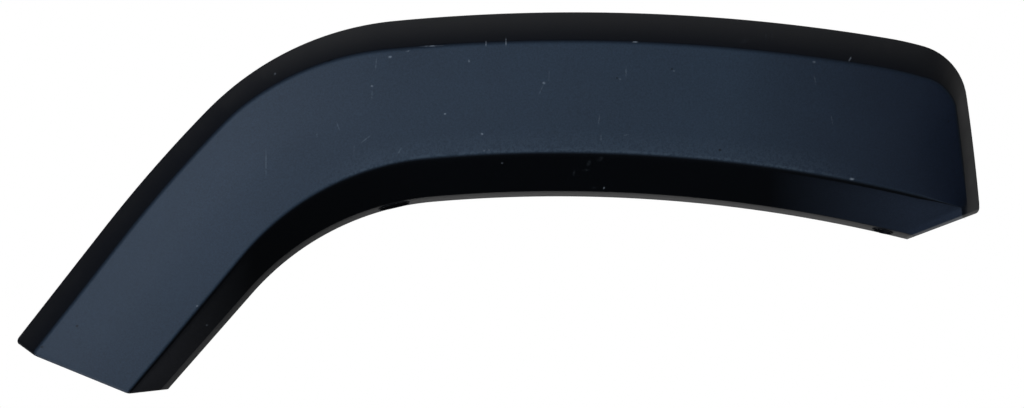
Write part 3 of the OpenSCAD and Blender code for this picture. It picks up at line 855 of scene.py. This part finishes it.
SCRATCHES = [
    (376, 64, 7.0, 0.8, 85), (372, 95, 5.0, 0.8, 88), (549, 76, 6.0, 0.7, 88), (541, 90, 6.5, 0.8, 64),
    (338, 126, 5.0, 0.8, 110), (317, 134, 4.0, 0.8, 90), (354, 150, 6.0, 0.7, 88), (399, 152, 6.5, 0.8, 62),
    (366, 139, 8.0, 0.7, 38), (266, 162, 16.0, 0.8, 90), (626, 72, 8.0, 0.7, 90), (815, 80, 6.0, 0.8, 100),
    (599, 120, 6.0, 0.8, 82), (601, 138, 5.0, 0.7, 88), (626, 135, 3.0, 0.8, 10), (832, 120, 5.0, 0.7, 100),
]
SMUDGES = [
    (745, 41, 5.5, 2.4, 20), (766, 36, 5.0, 1.2, 80), (772, 36, 4.0, 1.1, 75), (589, 163, 4.0, 2.2, 60),
    (600, 159, 4.0, 2.4, 30), (574, 173, 3.5, 1.5, 80), (586, 170, 4.5, 1.3, 0), (594, 188, 3.0, 1.5, 0),
]
DARK_SPECKS = [
    (77, 326, 1.8, 1.4, 20), (42, 347, 1.9, 1.4, 20), (672, 69, 1.3, 1.0, 0), (330, 60, 4.5, 1.2, 25),
    (617, 78, 1.2, 1.0, 0), (720, 150, 1.8, 1.4, 0),
]
# a mark is an ellipse seen from the side, so it reaches all the way through along Y
THROUGH = 1e3


def wear_mask(tree, position, marks, strength):
    """One where any of the marks lies, fading to nothing at its edge."""
    total = None
    for px, py, half_long, half_wide, slope in marks:
        x, z = from_photo(px, py)
        mapping = add_node(tree, "ShaderNodeMapping", [("Vector", position)], vector_type="TEXTURE",
                           Location=(x, 0, z), Rotation=(0, -math.radians(slope), 0),
                           Scale=(half_long * MM, THROUGH, half_wide * MM))
        length = add_node(tree, "ShaderNodeVectorMath", [(0, mapping)], operation="LENGTH")
        mark = mathed(tree, "SUBTRACT", 1.0, length.outputs["Value"], clamp=True)
        total = mark if total is None else mathed(tree, "MAXIMUM", total, mark)
    return mathed(tree, "MULTIPLY", total, strength, clamp=True)


print(len(NICKS + SPECKS + SCRATCHES + SMUDGES + DARK_SPECKS), "marks of wear")

# %% Colours and places of the plastic's painted light and wear
# The real grain is about 0.4 mm; it is drawn at 1.6 mm, because a pixel is nearly 1 mm wide.
GRAIN_MM, FLECK_MM, CLOUD_MM = 1.6, 3.2, 140.0
GRAIN_CONTRAST, CLOUD_CONTRAST, FLECK_IN_BUMP = 0.9, 0.35, 0.6
PLASTIC_ROUGHNESS, PLASTIC_SPECULAR, BUMP_STRENGTH, BUMP_MM = 0.52, 0.3, 0.35, 0.12
# one plastic in lit and shaded tones: painted sheen on the face, painted shade on roof and chamfer, painted
# reflection on the flange
FACE_SHEEN_BLACK, ROOF_SHADE_BLACK, CHAMFER_SHADE_BLACK, FLANGE_REFLECTION_GREY = "#21303e", "#0a0e16", "#02050a", "#1b1c1e"
# the crease black is painted shade and also the black of the dark specks; the cut grey is a painted highlight
CREASE_SHADE_AND_SPECK_BLACK, CREASE_PALE, CUT_HIGHLIGHT_GREY, WORN_PALE = "#03060b", "#5a6873", "#716f6b", "#8d959c"
# inside, the plastic keeps its plain black, without the painted light of the outer bands; a surface counts as
# outside once it turns a little outboard
MOULD_BLACK, OUTSIDE_FROM, OUTSIDE_EASE = "#202226", 0.04, 0.08
# places along the arch, in mm: the painted reflection near the foot, the worn and highlighted crease, the
# painted sheen on the chamfer and the painted shade at the rear
FOOT_REFLECTION_GREY, FOOT_REFLECTION_TO, FOOT_REFLECTION_LEN = "#303034", -250.0, 110.0
PALE_FROM, PALE_TO, PALE_EASE = -205.0, 330.0, 60.0
CHAMFER_SHEEN_BLACK, CHAMFER_SHEEN_FROM, CHAMFER_SHEEN_LEN = "#222c3b", 240.0, 140.0
REAR_SHADE_FROM, REAR_SHADE_LEN, REAR_SHADE_TINT = 205.0, 215.0, "#6a89ac"
# places across the section, as the loft stored them: 0 at the edge at the body, 1 at the wheel-side edge
# the steps from band to band are painted sheen, painted shade and painted reflection
LIT_AND_SHADED_BANDS = [(0.0, ROOF_SHADE_BLACK), (0.06, ROOF_SHADE_BLACK), (0.2, FACE_SHEEN_BLACK), (0.56, FACE_SHEEN_BLACK), (0.64, CREASE_SHADE_AND_SPECK_BLACK),
         (0.72, CREASE_SHADE_AND_SPECK_BLACK), (0.735, CHAMFER_SHADE_BLACK), (0.80, CHAMFER_SHADE_BLACK), (0.93, FLANGE_REFLECTION_GREY)]
ON_FACE = [(0.10, 0.0), (0.2, 1.0), (0.54, 1.0), (0.62, 0.0)]
ON_CREASE = [(0.50, 0.0), (0.53, 1.0), (0.57, 1.0), (0.60, 0.0)]
ON_CHAMFER = [(0.70, 0.0), (0.735, 1.0), (0.84, 1.0), (0.90, 0.0)]
BELOW_CREASE = [(0.725, 0.0), (0.735, 1.0)]
BROKEN = [(0.40, 0.25), (0.58, 1.0)]
NICK, SPECK, SCRATCH, SMUDGE, DARK_SPECK = 1.4, 1.7, 0.42, 0.12, 1.8
# shares of the wear, the dark specks, the crease line (wear and painted highlight) and the painted cut
# highlight
WORN_SHARE, DARK_SHARE, CREASE_WEAR_AND_HIGHLIGHT_SHARE, CUT_HIGHLIGHT_SHARE = 0.5, 0.85, 0.22, 0.8
print("grain is drawn at", GRAIN_MM, "mm")

# %% Build the plastic
def bands_with_painted_light(tree, along_x, across, outside, shade):
    """The painted light of each band of the section, with the painted reflection near the foot, the painted
    sheen on the chamfer and the painted shade at the rear.
    """
    # a pale painted reflection on the chamfer and the flange near the foot, and a painted sheen on the chamfer
    # near the rear
    foot_reflection = fade(tree, along_x, FOOT_REFLECTION_TO * MM, -FOOT_REFLECTION_LEN * MM)
    bands = mix_colour(tree, product(tree, foot_reflection, ramp(tree, across, BELOW_CREASE)), ramp(tree, across, LIT_AND_SHADED_BANDS),
                       FOOT_REFLECTION_GREY)
    # painted sheen on the chamfer towards the rear
    chamfer_sheen = fade(tree, along_x, CHAMFER_SHEEN_FROM * MM, CHAMFER_SHEEN_LEN * MM)
    bands = mix_colour(tree, product(tree, chamfer_sheen, ramp(tree, across, ON_CHAMFER)), bands, CHAMFER_SHEEN_BLACK)
    bands = mix_colour(tree, outside, MOULD_BLACK, bands)
    toned = add_node(tree, "ShaderNodeVectorMath", [(0, bands), (1, shade)], operation="MULTIPLY").outputs[0]
    # painted shade darkens the face towards the rear corner, and keeps it blue
    rear = fade(tree, along_x, REAR_SHADE_FROM * MM, REAR_SHADE_LEN * MM)
    return mix_colour(tree, product(tree, rear, ramp(tree, across, ON_FACE), outside), toned, REAR_SHADE_TINT,
                      "MULTIPLY")


def worn_and_highlighted_edges(tree, along_x, across, broken, toned):
    """The thin pale line along the crease, partly wear and partly a painted highlight, and a painted highlight
    on the rims of the cuts.
    """
    crease_wear_and_highlight = product(tree, fade(tree, along_x, PALE_FROM * MM, PALE_EASE * MM),
                       fade(tree, along_x, PALE_TO * MM, -PALE_EASE * MM),
                       ramp(tree, across, ON_CREASE), broken, CREASE_WEAR_AND_HIGHLIGHT_SHARE)
    toned = mix_colour(tree, crease_wear_and_highlight, toned, CREASE_PALE)
    # the pale rims of the cuts are a painted highlight
    cut = add_node(tree, "ShaderNodeAttribute", attribute_name="end").outputs["Fac"]
    return mix_colour(tree, product(tree, cut, CUT_HIGHLIGHT_SHARE), toned, CUT_HIGHLIGHT_GREY)


def marked(tree, place, broken, outside, toned):
    """The nicks, specks, scratches and smudges, and the dark specks over them."""
    pale = 0.0
    for marks, strength in ((NICKS, NICK), (SPECKS, SPECK), (SCRATCHES, SCRATCH), (SMUDGES, SMUDGE)):
        pale = mathed(tree, "MAXIMUM", wear_mask(tree, place, marks, strength), pale)
    scuffed = mix_colour(tree, product(tree, pale, broken, WORN_SHARE), toned, WORN_PALE)
    dark = product(tree, outside, wear_mask(tree, place, DARK_SPECKS, DARK_SPECK), DARK_SHARE)
    return mix_colour(tree, dark, scuffed, CREASE_SHADE_AND_SPECK_BLACK)


def set_bump(tree, shader, height, strength, distance):
    bump = add_node(tree, "ShaderNodeBump", [("Height", height)], Strength=strength, Distance=distance * MM)
    tree.links.new(bump.outputs[0], shader.inputs["Normal"])


def build_polypropylene(material):
    material.use_nodes = True
    tree = material.node_tree
    shader = tree.nodes["Principled BSDF"]
    set_node(shader, Roughness=PLASTIC_ROUGHNESS, Specular_IOR_Level=PLASTIC_SPECULAR)
    coordinates = add_node(tree, "ShaderNodeTexCoord")
    place = coordinates.outputs["Object"]
    along_x = add_node(tree, "ShaderNodeSeparateXYZ", [(0, place)]).outputs["X"]
    across = add_node(tree, "ShaderNodeAttribute", attribute_name="across").outputs["Fac"]
    facing = add_node(tree, "ShaderNodeSeparateXYZ", [(0, coordinates.outputs["Normal"])]).outputs["Y"]
    outside = fade(tree, facing, -OUTSIDE_FROM, -OUTSIDE_EASE)
    grain = noise(tree, place, 1 / (GRAIN_MM * MM), 3.0, 0.6)
    fleck = noise(tree, place, 1 / (FLECK_MM * MM), 2.0, 0.5)
    cloud = noise(tree, place, 1 / (CLOUD_MM * MM), 3.0, 0.6)
    # the grain's dips are darker and its tops lighter, by about a tenth, and broad clouds vary it a little
    tops = product(tree, mathed(tree, "SUBTRACT", grain, 0.5), GRAIN_CONTRAST)
    clouds = product(tree, mathed(tree, "SUBTRACT", cloud, 0.5), CLOUD_CONTRAST)
    shade = mathed(tree, "ADD", clouds, mathed(tree, "ADD", tops, 1.0))
    broken = product(tree, outside, ramp(tree, fleck, BROKEN))
    toned = bands_with_painted_light(tree, along_x, across, outside, shade)
    toned = worn_and_highlighted_edges(tree, along_x, across, broken, toned)
    tree.links.new(marked(tree, place, broken, outside, toned), shader.inputs["Base Color"])
    height = mathed(tree, "ADD", grain, product(tree, fleck, FLECK_IN_BUMP))
    set_bump(tree, shader, height, BUMP_STRENGTH, BUMP_MM)


build_polypropylene(polypropylene)
print("plastic has", len(polypropylene.node_tree.nodes), "nodes")

# %% [markdown]
# ## Nylon clips
# Push-in clips are moulded in uncoloured nylon, a milky off-white plastic that lets a little light into it.
# A touch of subsurface gives the soft look, and a fine bump the faint flow marks.

# %% Build the nylon
NYLON_ROUGHNESS, NYLON_DEPTH_SHARE, NYLON_DEPTH = 0.42, 0.15, (0.002, 0.0018, 0.0014)
NYLON_SHADES, FLOW_MM, FLOW_STRENGTH, FLOW_BUMP_MM = [(0.3, "#cfcab8"), (0.7, "#dedaca")], 6, 0.15, 0.1


def build_nylon(material):
    material.use_nodes = True
    tree = material.node_tree
    shader = tree.nodes["Principled BSDF"]
    set_node(shader, Roughness=NYLON_ROUGHNESS, Subsurface_Weight=NYLON_DEPTH_SHARE,
             Subsurface_Radius=NYLON_DEPTH, Subsurface_Scale=1.0)
    flow = noise(tree, add_node(tree, "ShaderNodeTexCoord").outputs["Object"], 1 / (FLOW_MM * MM))
    tree.links.new(ramp(tree, flow, NYLON_SHADES), shader.inputs["Base Color"])
    set_bump(tree, shader, flow, FLOW_STRENGTH, FLOW_BUMP_MM)


build_nylon(nylon)
print("nylon has", len(nylon.node_tree.nodes), "nodes")

# %% [markdown]
# ## The camera
# The photograph looks square at the side of the part, with no perspective that can be measured, so the camera
# is orthographic. It stands in front of the outer side and looks inboard. The Standard view transform shows a
# colour as it is written, without a film look.

# %% Camera
VIEW_WIDTH, VIEW_CENTRE, CAMERA_AWAY = 0.9728, (-0.0042, -0.1222), 3.0
camera_data = bpy.data.cameras.new("camera")
camera_data.type = "ORTHO"
camera_data.ortho_scale = VIEW_WIDTH
camera = linked("camera", camera_data)
camera.location = (VIEW_CENTRE[0], -CAMERA_AWAY, VIEW_CENTRE[1])
camera.rotation_euler = (math.radians(90), 0, 0)
bpy.context.scene.camera = camera
bpy.context.scene.view_settings.view_transform = "Standard"
print("camera sees", VIEW_WIDTH, "m")

# %% [markdown]
# ## Floor, world and lamp
# The photograph is a cut-out on white, lit by a large soft window from the front left: the face is bluish
# and fades to the rear, and the roof and chamfer stay near black. The world gives plain even light, and to
# mirror-like rays it is a white wall behind the part and a dim room elsewhere. One large round lamp does the
# rest. It stands far off to the front left with a narrow spread, so that it lights the floor evenly. The
# floor lies at the lowest point of the part and keeps its shadow.

# %% World
AMBIENT, ROOM, WALL_WHITE = 0.45, 0.03, 1.0
AMBIENT_WHITE, ROOM_WHITE = "#f4f7fb", "#dfe6f0"
# how much of the wall a ray meets, by how far it points back and to the side, where 0.5 is straight back
WALL_BACK = [(0.72, 0.0), (0.98, 1.0)]
WALL_SIDEWAYS = [(0.22, 0.03), (0.40, 1.0), (0.53, 1.0), (0.66, 0.38), (0.77, 0.18), (0.90, 0.40)]
world = bpy.data.worlds.new("studio")
bpy.context.scene.world = world
world.use_nodes = True
sky = world.node_tree
sky.nodes.clear()


def sky_light(colour, strength):
    return add_node(sky, "ShaderNodeBackground", Color=linear(colour), Strength=strength)


def sky_mix(share, first, second):
    return add_node(sky, "ShaderNodeMixShader", [(0, share), (1, first), (2, second)])


direction = add_node(sky, "ShaderNodeNewGeometry").outputs["Position"]
split = add_node(sky, "ShaderNodeSeparateXYZ", [(0, direction)])
sideways = mathed(sky, "ADD", split.outputs["X"], 0.5)
wall = product(sky, ramp(sky, split.outputs["Y"], WALL_BACK), ramp(sky, sideways, WALL_SIDEWAYS))
seen = add_node(sky, "ShaderNodeLightPath")
white = sky_light("#ffffff", WALL_WHITE)
mirrored = sky_mix(wall, sky_light(ROOM_WHITE, ROOM), white)
through = mathed(sky, "MAXIMUM", seen.outputs["Is Glossy Ray"], seen.outputs["Is Transmission Ray"])
lit = sky_mix(through, sky_light(AMBIENT_WHITE, AMBIENT), mirrored)
shown = sky_mix(seen.outputs["Is Camera Ray"], lit, white)
add_node(sky, "ShaderNodeOutputWorld", [("Surface", shown)])
print("ambient light", AMBIENT)

# %% Floor
FLOOR_HALF, FLOOR_GLOW = 4.0, 0.55
FLOOR_PALE, FLOOR_GLOW_PALE, FLOOR_ROUGHNESS = "#f2f2f0", "#f8f8f6", 0.9
floor_mesh = bmesh.new()
bmesh.ops.create_grid(floor_mesh, x_segments=1, y_segments=1, size=FLOOR_HALF,
                      matrix=Matrix.Translation((0, 0, cad_low.z)))
pale = bpy.data.materials.new("pale_floor")
pale.use_nodes = True
pale_tree = pale.node_tree
pale_shader = pale_tree.nodes["Principled BSDF"]
set_node(pale_shader, Base_Color=linear(FLOOR_PALE), Roughness=FLOOR_ROUGHNESS, Specular_IOR_Level=0.0)
# to the camera the floor is also a little bright by itself, so that it stays pale and keeps the shadow
glow = add_node(pale_tree, "ShaderNodeEmission", Color=linear(FLOOR_GLOW_PALE))
to_camera = add_node(pale_tree, "ShaderNodeLightPath").outputs["Is Camera Ray"]
both = add_node(pale_tree, "ShaderNodeMixShader", [
    (0, product(pale_tree, to_camera, FLOOR_GLOW)), (1, pale_shader), (2, glow)])
pale_tree.links.new(both.outputs[0], pale_tree.nodes["Material Output"].inputs["Surface"])
floor = finish_mesh(floor_mesh, "floor", pale)
# the photographed part lay on its back, so nothing pale stood below its chamfer to be mirrored in it
floor.visible_glossy = False
print("floor at", round(cad_low.z / MM), "mm")

# %% Lamp
WINDOW_AT, WINDOW_AIM = Vector((-1.40, -2.55, 0.60)), Vector((-0.06, 0.0, -0.08))
WINDOW_SIZE, WINDOW_SPREAD, WINDOW_ENERGY, WINDOW_BLUE = 1.6, 54.0, 5.6, "#dbe9ff"
window_data = bpy.data.lights.new("window", "AREA")
window_data.shape = "DISK"
window_data.size = WINDOW_SIZE
window_data.spread = math.radians(WINDOW_SPREAD)
window_data.energy = WINDOW_ENERGY
window_data.color = linear(WINDOW_BLUE)[:3]
window = linked("window", window_data)
window.location = WINDOW_AT
window.rotation_euler = (WINDOW_AIM - WINDOW_AT).to_track_quat("-Z", "Y").to_euler()
print("window lamp at", tuple(window.location))

# %% [markdown]
# ## What stands for what
# Nothing on the part moves, so every piece rides on its one body. The pieces of black plastic stand for the
# moulding of the CAD model and the clips for its clips.

# %% Close the script
for piece in [shell, clip_houses, locating_pins, pin_webs] + seat_cups + ribs:
    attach(piece, "root")
    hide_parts("arch_moulding")
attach(clips, "root")
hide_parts("retaining_clips")
